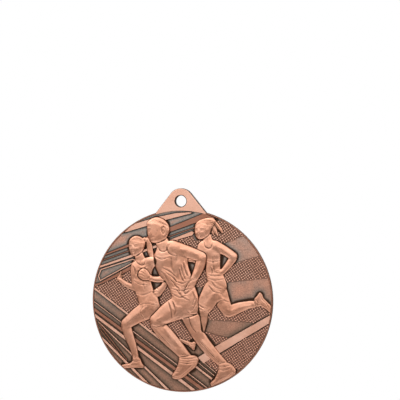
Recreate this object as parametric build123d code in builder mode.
from build123d import *

import os
from math import acos, atan2, cos, hypot, sin

# Finisher medal: a struck round medal with a drilled hanging lug, shown hanging.
#
# Frame, in millimetres: the origin is on the axis of the lug's hole, half way through its thickness.
# +Z is up, the obverse (picture side) faces -Y and the reverse faces +Y.
# The relief is drawn in the disc's own plane, x to the right and z up from the disc's centre.

# ---------------------------------------------------------------- driving dimensions
DISC_R = 35.0
HOLE_R = 2.15
HOLE_CHAMFER = 0.25
LUG_R = 4.9
LUG_BASE_HALF = 9.8
LUG_BASE_Z = 33.6
HOLE_UP = 38.1
HALF_THICK = 1.5
FIELD_Y = 1.1
RIM_WIDTH = 0.55
RIM_H = 0.24
EDGE_ROUND = 0.3
RIM_CHAMFER = 0.1
DRAFT = 18.0

LINE_H = 0.34
BEAM_H = 0.42
FAR_BEAM_H = 0.3
BAND_H = 0.46
PANEL_H = 0.12
FIGURE_LOW_H = 0.9
FIGURE_MID_H = 1.35
FIGURE_HIGH_H = 1.9
FIGURE_INSET = 0.3
FIGURE_MIN_R = 0.25

SEAT_R = 25.0
SEAT_DEPTH = 0.3
LAUREL_R = 29.4
LAUREL_H = 0.35
LEAF_PAIRS = 11
LEAF_LENGTH = 5.6
LEAF_WIDTH = 2.1
LEAF_TILT = 27.0
LEAF_GAP_ANGLE = 13.0

RIM_INNER_R = DISC_R - RIM_WIDTH

# ---------------------------------------------------------------- working planes
OBVERSE = Plane(origin=(0, -FIELD_Y, -HOLE_UP), x_dir=(1, 0, 0), z_dir=(0, -1, 0))
REVERSE = Plane(origin=(0, FIELD_Y, -HOLE_UP), x_dir=(-1, 0, 0), z_dir=(0, 1, 0))
LUG_BACK = Plane(origin=(0, HALF_THICK, -HOLE_UP), x_dir=(1, 0, 0), z_dir=(0, -1, 0))
SEAT_FLOOR = Plane(origin=(0, FIELD_Y - SEAT_DEPTH, -HOLE_UP), x_dir=(-1, 0, 0), z_dir=(0, 1, 0))

# ---------------------------------------------------------------- the three runners
# Each limb is (height, chain), and a chain is the limb's line as (x, z, half width) points.
CENTRE_RUNNER = [
    (FIGURE_MID_H, [(-8.6, 28.0, 3.95), (-9.7, 25.8, 3.15), (-9.9, 23.8, 2.0)]),
    (FIGURE_MID_H, [(-8.0, 25.0, 2.4), (-6.9, 21.0, 2.9)]),
    (
        FIGURE_HIGH_H,
        [(-6.3, 19.2, 3.0), (-4.6, 15.6, 5.3), (-1.0, 9.5, 4.8), (0.75, 4.0, 5.0), (1.3, -0.8, 5.0)],
    ),
    (FIGURE_HIGH_H, [(-1.5, 15.2, 4.0), (0.4, 11.0, 3.3)]),
    (FIGURE_HIGH_H, [(-3.2, 20.1, 2.7), (2.5, 18.6, 2.15), (8.0, 16.6, 2.0)]),
    (FIGURE_HIGH_H, [(8.1, 16.2, 1.9), (7.4, 13.0, 1.85), (5.6, 9.4, 1.35), (4.5, 7.8, 1.05)]),
    (FIGURE_HIGH_H, [(3.6, 6.9, 1.5), (2.2, 5.2, 1.3)]),
    (FIGURE_MID_H, [(-8.4, 17.2, 2.1), (-8.1, 13.2, 1.8), (-6.9, 9.2, 1.35)]),
    (FIGURE_MID_H, [(-6.8, 8.6, 1.25), (-9.6, 8.3, 1.15), (-12.4, 8.9, 0.9)]),
    (FIGURE_MID_H, [(-13.6, 9.8, 1.1), (-15.3, 11.2, 0.9)]),
    (FIGURE_HIGH_H, [(0.8, -1.5, 4.8), (-5.0, -4.7, 3.7), (-9.9, -8.1, 2.3)]),
    (FIGURE_MID_H, [(-9.8, -9.2, 2.3), (-6.2, -13.0, 2.8), (-1.6, -17.6, 2.3), (1.6, -21.0, 1.7)]),
    (FIGURE_MID_H, [(1.2, -22.6, 2.0), (0.6, -25.0, 1.9), (-1.9, -28.4, 1.6)]),
    (FIGURE_MID_H, [(4.6, -22.7, 1.9), (3.2, -24.6, 2.4), (-1.9, -28.4, 1.6)]),
    (FIGURE_MID_H, [(3.0, -3.6, 3.9), (4.6, -8.6, 3.0), (6.0, -12.2, 2.3)]),
    (FIGURE_MID_H, [(6.2, -12.8, 2.2), (9.3, -16.6, 2.3), (12.8, -20.8, 1.9), (15.6, -23.9, 1.6)]),
    (FIGURE_MID_H, [(15.8, -24.6, 1.7), (15.6, -27.0, 2.0), (12.6, -30.6, 1.6)]),
    (FIGURE_MID_H, [(19.0, -25.8, 1.7), (17.6, -27.6, 2.3), (12.6, -30.6, 1.6)]),
]
LEFT_RUNNER = [
    (FIGURE_MID_H, [(-17.4, 21.3, 3.35), (-18.0, 19.3, 2.3)]),
    (FIGURE_LOW_H, [(-14.2, 23.2, 0.75), (-13.2, 23.2, 0.85), (-12.5, 20.8, 1.15), (-11.5, 17.6, 1.05)]),
    (FIGURE_LOW_H, [(-16.7, 18.6, 1.7), (-15.9, 15.6, 1.9)]),
    (FIGURE_MID_H, [(-15.2, 14.6, 1.9), (-12.3, 15.0, 1.9), (-9.5, 14.6, 1.6)]),
    (FIGURE_MID_H, [(-15.6, 12.4, 4.1), (-15.5, 8.3, 4.2), (-14.2, 4.2, 3.6), (-12.8, 0.0, 3.9)]),
    (FIGURE_LOW_H, [(-18.6, 5.3, 1.15), (-21.4, 6.2, 0.95), (-23.6, 7.6, 0.75)]),
    (FIGURE_LOW_H, [(-24.2, 8.5, 0.95), (-23.9, 9.5, 0.7), (-23.5, 10.5, 0.55)]),
    (FIGURE_LOW_H, [(-5.9, 8.0, 1.0), (-7.4, 5.2, 1.0), (-8.0, 4.1, 1.2), (-9.1, 3.2, 1.3)]),
    (FIGURE_MID_H, [(-12.8, 0.0, 3.9), (-12.2, -3.0, 3.9), (-17.0, -5.8, 2.85), (-21.6, -8.8, 1.95)]),
    (FIGURE_MID_H, [(-21.9, -9.6, 1.75), (-20.8, -13.0, 1.9), (-19.1, -17.2, 1.55), (-18.0, -21.6, 1.15)]),
    (FIGURE_LOW_H, [(-17.9, -22.6, 1.5), (-16.6, -24.6, 1.3)]),
    (FIGURE_LOW_H, [(-16.6, -24.6, 1.3), (-18.5, -24.9, 1.2), (-22.6, -25.1, 0.75)]),
    (FIGURE_LOW_H, [(-10.4, -3.5, 2.5), (-9.6, -6.6, 1.8)]),
    (FIGURE_LOW_H, [(1.6, -15.8, 0.9), (3.9, -16.4, 1.2), (4.5, -17.9, 0.7)]),
]
RIGHT_RUNNER = [
    (FIGURE_MID_H, [(8.4, 27.2, 3.2), (7.9, 25.2, 2.1)]),
    (FIGURE_MID_H, [(8.6, 28.6, 2.6), (11.4, 29.8, 2.1), (13.0, 30.5, 1.1)]),
    (FIGURE_LOW_H, [(12.6, 28.6, 1.0), (14.4, 27.0, 0.7), (15.8, 25.6, 0.5)]),
    (FIGURE_LOW_H, [(12.4, 27.8, 0.9), (13.1, 26.2, 0.6), (14.0, 25.1, 0.5)]),
    (FIGURE_LOW_H, [(10.0, 25.0, 1.5), (10.4, 22.2, 1.9)]),
    (
        FIGURE_MID_H,
        [(9.2, 20.6, 2.6), (11.4, 20.4, 2.9), (12.4, 17.2, 3.5), (12.5, 13.6, 2.9), (12.6, 11.0, 2.8)],
    ),
    (FIGURE_MID_H, [(12.6, 11.0, 2.8), (13.4, 7.4, 3.8), (13.4, 4.6, 3.9)]),
    (FIGURE_MID_H, [(13.0, 21.2, 2.0), (16.6, 19.4, 1.55), (20.1, 17.1, 1.45)]),
    (FIGURE_MID_H, [(20.2, 16.7, 1.35), (18.4, 13.7, 1.25), (16.4, 11.5, 0.95)]),
    (FIGURE_MID_H, [(15.6, 11.1, 1.0), (13.9, 11.2, 0.8)]),
    (FIGURE_LOW_H, [(2.6, 15.5, 0.7), (5.9, 15.1, 0.8)]),
    (FIGURE_MID_H, [(12.6, 4.2, 3.9), (9.9, -0.2, 3.2), (7.9, -3.9, 2.2)]),
    (FIGURE_LOW_H, [(7.8, -4.6, 2.0), (8.1, -7.6, 1.6), (7.5, -11.2, 1.1)]),
    (FIGURE_LOW_H, [(14.2, 3.6, 3.3), (16.2, -0.6, 2.6), (18.0, -4.0, 2.0)]),
    (FIGURE_LOW_H, [(18.4, -4.0, 2.0), (21.8, -2.3, 1.85), (26.0, -0.9, 1.4), (29.4, -0.3, 1.1)]),
    (FIGURE_LOW_H, [(29.8, 0.6, 1.5), (30.2, 2.2, 1.0)]),
    (FIGURE_LOW_H, [(30.0, -0.2, 1.6), (32.2, -1.2, 1.3), (33.5, -3.0, 0.9)]),
]

# ---------------------------------------------------------------- stadium behind the runners
# Strips that taper along a straight line: start point, end point, start width, end width, height.
STRIPS = {
    "lane_line_1": ((-36.0, 5.87), (14.0, -31.6), 0.9, 0.95, LINE_H),
    "lane_line_2": ((-36.0, 0.56), (12.0, -34.9), 0.45, 0.5, LINE_H),
    "lane_line_3": ((-36.0, -2.5), (12.0, -36.7), 1.1, 1.35, 0.26),
    "lane_line_4": ((-36.0, -4.54), (9.0, -37.5), 1.2, 1.3, LINE_H),
    "lane_line_5": ((-32.6, -13.5), (-11.0, -34.5), 0.9, 1.15, LINE_H),
    "lane_line_6": ((-32.8, -8.4), (-4.0, -35.7), 0.45, 1.1, LINE_H),
    "lane_fan_1": ((-32.4, -9.5), (-21.5, -23.2), 0.4, 0.4, 0.26),
    "lane_fan_2": ((-32.0, -11.6), (-24.4, -21.0), 0.4, 0.4, 0.26),
    "lane_inner_1": ((7.6, -22.8), (14.0, -28.1), 0.4, 0.4, 0.26),
    "lane_inner_2": ((6.4, -23.7), (13.6, -29.4), 0.4, 0.4, 0.26),
    "roof_rib": ((-32.0, 15.0), (6.2, 28.3), 0.4, 0.4, 0.26),
}
BEAMS = {
    "roof_beam_1": (
        [
            (-22.5, 25.9), (-13.0, 28.6), (-5.8, 30.8), (4.9, 33.5),
            (3.4, 33.95), (-2.0, 33.6), (-10.0, 32.0), (-19.0, 29.3),
        ],
        BEAM_H,
    ),
    "roof_beam_2": ([(-32.0, 16.5), (8.0, 30.5), (13.5, 31.6), (9.0, 33.5), (-31.0, 17.5)], BEAM_H),
    "roof_beam_3": (
        [
            (-33.5, 11.9), (-20.0, 16.3), (-4.0, 22.5), (4.5, 24.9),
            (5.2, 25.9), (4.4, 26.7), (-20.0, 17.5), (-33.0, 13.0),
        ],
        BEAM_H,
    ),
    "roof_beam_4": (
        [(-34.5, 4.9), (-26.0, 8.6), (-19.3, 11.9), (-19.3, 13.5), (-32.0, 6.8), (-34.5, 6.2)],
        FAR_BEAM_H,
    ),
    "finish_band": (
        [(35.5, -4.2), (14.2, -16.4), (6.0, -21.6), (8.4, -24.0), (14.8, -19.9), (35.0, -7.6)],
        BAND_H,
    ),
}
STAND_PANEL = [(-32.8, 9.3), (-31.6, 12.0), (-19.0, 16.0), (-17.2, 15.2), (-31.9, 7.3)]
STAND_PANEL_FRAME = 0.35
CROWD_PANELS = {
    "crowd_panel_left": [
        (-33.9, 4.9), (-26.3, 8.2), (-19.6, 11.5),
        (-18.6, 4.5), (-16.5, -2.0), (-20.6, -4.9),
    ],
    "crowd_panel_top": [
        (-2.6, 22.9), (4.7, 24.8), (5.3, 23.0), (8.9, 23.3),
        (6.4, 21.8), (6.1, 19.4), (2.0, 20.3),
    ],
    "crowd_panel_upper_right": [
        (12.6, 30.6), (17.0, 30.4), (24.6, 25.2),
        (17.0, 22.0), (11.2, 24.0), (11.0, 26.5),
    ],
    "crowd_panel_right": [
        (20.2, 13.8), (25.0, 15.6), (30.4, 17.0), (33.9, 9.0),
        (25.0, 8.0), (17.3, 7.1), (16.3, 10.0),
    ],
    "crowd_panel_centre": [(8.8, 13.2), (10.3, 6.2), (9.0, 5.2), (5.8, 5.2), (5.2, 6.3), (6.8, 9.0)],
    "crowd_panel_belt": [(-5.6, 6.6), (-3.4, 1.4), (-8.6, -4.4), (-8.2, 0.6)],
    "crowd_panel_under_leg": [
        (9.4, -7.0), (9.6, -3.5), (13.0, -0.8), (17.5, -5.0),
        (30.5, -1.4), (33.9, -4.7), (28.3, -8.0), (22.0, -7.7),
    ],
    "crowd_panel_low_wedge": [(9.4, -12.0), (13.0, -12.9), (17.6, -14.2), (13.4, -16.7)],
    "crowd_panel_lower_right": [
        (15.2, -20.0), (34.0, -8.5), (31.8, -13.2),
        (27.5, -20.4), (21.8, -26.3), (16.0, -22.0),
    ],
    "crowd_panel_between_legs": [(-6.2, -9.6), (-1.2, -6.6), (4.2, -14.0), (2.5, -15.9), (0.3, -15.6)],
    "crowd_panel_knee": [(-15.8, -8.6), (-12.6, -6.4), (-11.4, -8.6), (-11.8, -11.6)],
    "crowd_panel_shoe": [(8.9, -23.4), (12.2, -21.6), (14.2, -24.2), (14.0, -27.2)],
}


def chain_outline(chain):
    """Flat outline of one limb: a disc at each point, with each neighbouring pair joined by its hull."""
    with BuildSketch(OBVERSE) as outline:
        for near, far in zip(chain, chain[1:]):
            add(link_outline(near, far))
    return outline.sketch


def link_outline(near, far):
    """Hull of two discs, drawn flat."""
    with BuildSketch() as link:
        for x, z, half_width in (near, far):
            with Locations((x, z)):
                Circle(max(half_width - FIGURE_INSET, FIGURE_MIN_R))
        make_hull()
    return link.sketch


def figure_block(name, limbs, in_front=None):
    """One runner as stepped flat relief standing on the field, cleared of the figure in front of it."""
    with BuildPart() as figure:
        for height, chain in limbs:
            extrude(chain_outline(chain), amount=height)
        add(field_space, mode=Mode.INTERSECT)
        if in_front is not None:
            add(in_front, mode=Mode.SUBTRACT)
    figure.part.label = name
    return figure.part


def raised_shape(name, corners, height, cleared):
    """A straight-sided raised shape with drafted flanks, inside the rim and clear of other pieces."""
    with BuildPart() as shape:
        with BuildSketch(OBVERSE):
            Polygon(*corners, align=None)
        extrude(amount=height, taper=DRAFT)
        add(field_space, mode=Mode.INTERSECT)
        for other in cleared:
            add(other, mode=Mode.SUBTRACT)
    shape.part.label = name
    return shape.part


def strip_corners(start, end, start_width, end_width):
    """Corners of a strip that tapers evenly along its centre line."""
    begin, finish = Vector(*start), Vector(*end)
    along = (finish - begin).normalized()
    across = Vector(-along.Y, along.X)
    left = (begin + across * (start_width / 2), finish + across * (end_width / 2))
    right = (finish - across * (end_width / 2), begin - across * (start_width / 2))
    return [(point.X, point.Y) for point in (*left, *right)]


# ---------------------------------------------------------------- lug, disc and rims
drop = LUG_BASE_Z - HOLE_UP
tangent_angle = atan2(drop, LUG_BASE_HALF) + acos(LUG_R / hypot(drop, LUG_BASE_HALF))
tangent_x = LUG_R * cos(tangent_angle)
tangent_z = HOLE_UP + LUG_R * sin(tangent_angle)
with BuildSketch(LUG_BACK) as lug_outline:
    with BuildLine():
        ThreePointArc((-tangent_x, tangent_z), (0, HOLE_UP + LUG_R), (tangent_x, tangent_z))
        Polyline(
            (tangent_x, tangent_z),
            (LUG_BASE_HALF, LUG_BASE_Z),
            (LUG_BASE_HALF, LUG_BASE_Z - LUG_R),
            (-LUG_BASE_HALF, LUG_BASE_Z - LUG_R),
            (-LUG_BASE_HALF, LUG_BASE_Z),
            (-tangent_x, tangent_z),
        )
    make_face()

with BuildPart() as suspension_lug:
    extrude(lug_outline.sketch, amount=2 * HALF_THICK)
    face_edges = suspension_lug.edges().group_by(Axis.Y)
    fillet(face_edges[0] + face_edges[-1], EDGE_ROUND)
    with Locations(Plane(origin=(0, -HALF_THICK, 0), z_dir=(0, -1, 0))):
        Hole(HOLE_R, 2 * HALF_THICK)
    round_edges = suspension_lug.edges().filter_by(GeomType.CIRCLE)
    chamfer(round_edges.filter_by(lambda edge: abs(edge.radius - HOLE_R) < 0.01), HOLE_CHAMFER)
    with BuildSketch(LUG_BACK):
        Circle(RIM_INNER_R)
    extrude(amount=2 * HALF_THICK, mode=Mode.SUBTRACT)
suspension_lug.part.label = "suspension_lug"

with BuildPart() as disc_blank:
    with BuildSketch(Plane(origin=(0, FIELD_Y, -HOLE_UP), x_dir=(1, 0, 0), z_dir=(0, -1, 0))):
        Circle(DISC_R)
    extrude(amount=2 * FIELD_Y)
    with BuildSketch(SEAT_FLOOR):
        Circle(SEAT_R)
    extrude(amount=SEAT_DEPTH, mode=Mode.SUBTRACT)
    add(suspension_lug.part, mode=Mode.SUBTRACT)
disc_blank.part.label = "disc_blank"


def rim_ring(name, plane):
    """A raised border ring with broken corners, interrupted where the lug's face runs in."""
    with BuildPart() as ring:
        with BuildSketch(plane):
            Circle(DISC_R)
            Circle(RIM_INNER_R, mode=Mode.SUBTRACT)
        extrude(amount=RIM_H)
        crests = ring.faces().sort_by(Axis(plane.origin, plane.z_dir))[-1].edges()
        chamfer(crests, RIM_CHAMFER)
        add(lug_space, mode=Mode.SUBTRACT)
    ring.part.label = name
    return ring.part


with BuildPart() as lug_space_block:
    extrude(lug_outline.sketch, amount=2 * HALF_THICK)
    with BuildSketch(LUG_BACK):
        Circle(RIM_INNER_R)
    extrude(amount=2 * HALF_THICK, mode=Mode.SUBTRACT)
lug_space = lug_space_block.part

with BuildPart() as field_space_block:
    with BuildSketch(OBVERSE):
        Circle(RIM_INNER_R)
    extrude(amount=FIGURE_HIGH_H)
field_space = field_space_block.part

pieces = [suspension_lug.part, disc_blank.part]
pieces.append(rim_ring("obverse_rim", OBVERSE))
pieces.append(rim_ring("reverse_rim", REVERSE))

# ---------------------------------------------------------------- figures, stadium and crowd
runner_centre = figure_block("runner_centre", CENTRE_RUNNER)
runner_left = figure_block("runner_left", LEFT_RUNNER, in_front=runner_centre)
runner_right = figure_block("runner_right", RIGHT_RUNNER, in_front=runner_centre)
runners = [runner_left, runner_centre, runner_right]
pieces += runners

stadium = []
for name, (corners, height) in BEAMS.items():
    stadium.append(raised_shape(name, corners, height, [*runners, *stadium]))
for name, (start, end, start_width, end_width, height) in STRIPS.items():
    corners = strip_corners(start, end, start_width, end_width)
    stadium.append(raised_shape(name, corners, height, [*runners, *stadium]))

with BuildPart() as stand_panel_frame:
    with BuildSketch(OBVERSE):
        Polygon(*STAND_PANEL, align=None)
        offset(amount=-STAND_PANEL_FRAME, mode=Mode.SUBTRACT)
    extrude(amount=LINE_H)
    for other in (*runners, *stadium):
        add(other, mode=Mode.SUBTRACT)
stand_panel_frame.part.label = "stand_panel_frame"
stadium.append(stand_panel_frame.part)
pieces += stadium

for name, corners in CROWD_PANELS.items():
    pieces.append(raised_shape(name, corners, PANEL_H, [*runners, *stadium]))


# ---------------------------------------------------------------- laurel on the reverse
def laurel_leaf(angle, heading):
    """One leaf growing from the stem: the lens where two equal circles cross."""
    half = LEAF_LENGTH / 2
    lens_r = (half**2 + (LEAF_WIDTH / 2) ** 2) / LEAF_WIDTH
    spread = lens_r - LEAF_WIDTH / 2
    with BuildSketch(REVERSE) as leaf:
        with PolarLocations(LAUREL_R, 1, start_angle=angle):
            with Locations(Rotation(0, 0, heading)):
                with Locations((spread, half)):
                    Circle(lens_r)
                with Locations((-spread, half)):
                    Circle(lens_r, mode=Mode.INTERSECT)
    return leaf.sketch


def laurel_branch(name, side):
    """Half a wreath, from the tie at the bottom up to the gap at the top."""
    step = (180 - 2 * LEAF_GAP_ANGLE) / LEAF_PAIRS
    growth = 90 - 90 * side
    with BuildPart() as branch:
        for pair in range(LEAF_PAIRS):
            angle = -90 + side * (LEAF_GAP_ANGLE + pair * step)
            for lean in (-LEAF_TILT, LEAF_TILT):
                extrude(laurel_leaf(angle, growth + lean), amount=LAUREL_H)
    branch.part.label = name
    return branch.part


pieces.append(laurel_branch("laurel_branch_left", 1))
pieces.append(laurel_branch("laurel_branch_right", -1))

with BuildPart() as laurel_tie:
    with BuildSketch(REVERSE):
        with Locations((0, -LAUREL_R)):
            SlotOverall(LEAF_LENGTH, LEAF_WIDTH)
    extrude(amount=LAUREL_H)
laurel_tie.part.label = "laurel_tie"
pieces.append(laurel_tie.part)

# ---------------------------------------------------------------- one file for each piece
os.makedirs("parts", exist_ok=True)
for piece in pieces:
    solids = piece.solids()
    print(piece.label, len(solids), "solids,", round(piece.volume, 1), "mm3")
    export_step(piece, f"parts/{piece.label}.step")
